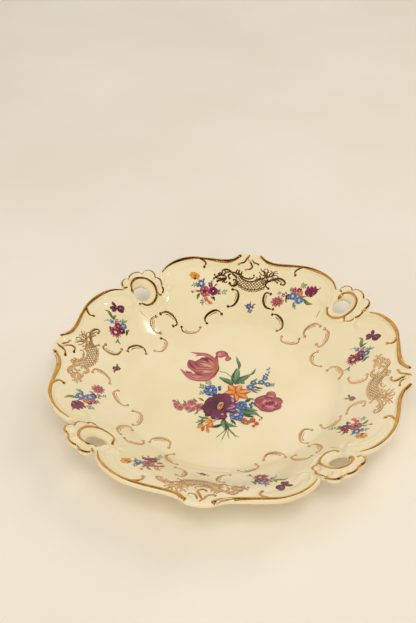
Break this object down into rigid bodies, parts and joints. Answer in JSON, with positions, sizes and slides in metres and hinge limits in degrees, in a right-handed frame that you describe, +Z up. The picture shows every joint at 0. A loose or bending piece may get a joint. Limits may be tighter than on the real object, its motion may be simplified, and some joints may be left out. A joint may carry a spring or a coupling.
{
  "type": "serving bowl",
  "caption": "Shallow footed porcelain serving bowl with a scalloped rim, pierced shell handles, gilt scrolls and enamel flowers.",
  "frame": {"origin": "middle of the foot ring, on the plane the bowl stands on", "axes": "+Z up out of the dish; the four rim crests lie on +X, -X, +Y and -Y, the handles on the diagonals; +Y is away from the viewer of the upright bouquet"},
  "size_m": [0.3032, 0.3032, 0.0435],
  "materials": {
    "porcelain": "warm ivory glaze, high gloss",
    "foot_porcelain": "ivory porcelain, wiped bare where it stands",
    "gilding": "fired gold, burnished",
    "rim_enamel": "fired overglaze enamel print in several colours",
    "bouquet_enamel": "fired overglaze enamel print in several colours"
  },
  "bodies": {
    "root": {"cartouche_gilding_east": "gilding", "cartouche_gilding_north": "gilding", "cartouche_gilding_south": "gilding", "cartouche_gilding_west": "gilding", "centre_bouquet": "bouquet_enamel", "crown_gilding_east": "gilding", "crown_gilding_north": "gilding", "crown_gilding_south": "gilding", "crown_gilding_west": "gilding", "dish_body": "porcelain", "flower_spray_east_left": "rim_enamel", "flower_spray_east_right": "rim_enamel", "flower_spray_north_left": "rim_enamel", "flower_spray_north_right": "rim_enamel", "flower_spray_south_left": "rim_enamel", "flower_spray_south_right": "rim_enamel", "flower_spray_west_left": "rim_enamel", "flower_spray_west_right": "rim_enamel", "flower_sprig_east": "rim_enamel", "flower_sprig_north": "rim_enamel", "flower_sprig_south": "rim_enamel", "flower_sprig_west": "rim_enamel", "foot_ring": "foot_porcelain", "handle_edge_gilding_north_east": "gilding", "handle_edge_gilding_north_west": "gilding", "handle_edge_gilding_south_east": "gilding", "handle_edge_gilding_south_west": "gilding", "handle_north_east": "porcelain", "handle_north_west": "porcelain", "handle_scroll_gilding_north_east": "gilding", "handle_scroll_gilding_north_west": "gilding", "handle_scroll_gilding_south_east": "gilding", "handle_scroll_gilding_south_west": "gilding", "handle_south_east": "porcelain", "handle_south_west": "porcelain", "rim_gilding_east_left": "gilding", "rim_gilding_east_right": "gilding", "rim_gilding_north_left": "gilding", "rim_gilding_north_right": "gilding", "rim_gilding_south_left": "gilding", "rim_gilding_south_right": "gilding", "rim_gilding_west_left": "gilding", "rim_gilding_west_right": "gilding", "scroll_gilding_east": "gilding", "scroll_gilding_north": "gilding", "scroll_gilding_south": "gilding", "scroll_gilding_west": "gilding"}
  },
  "joints": []
}
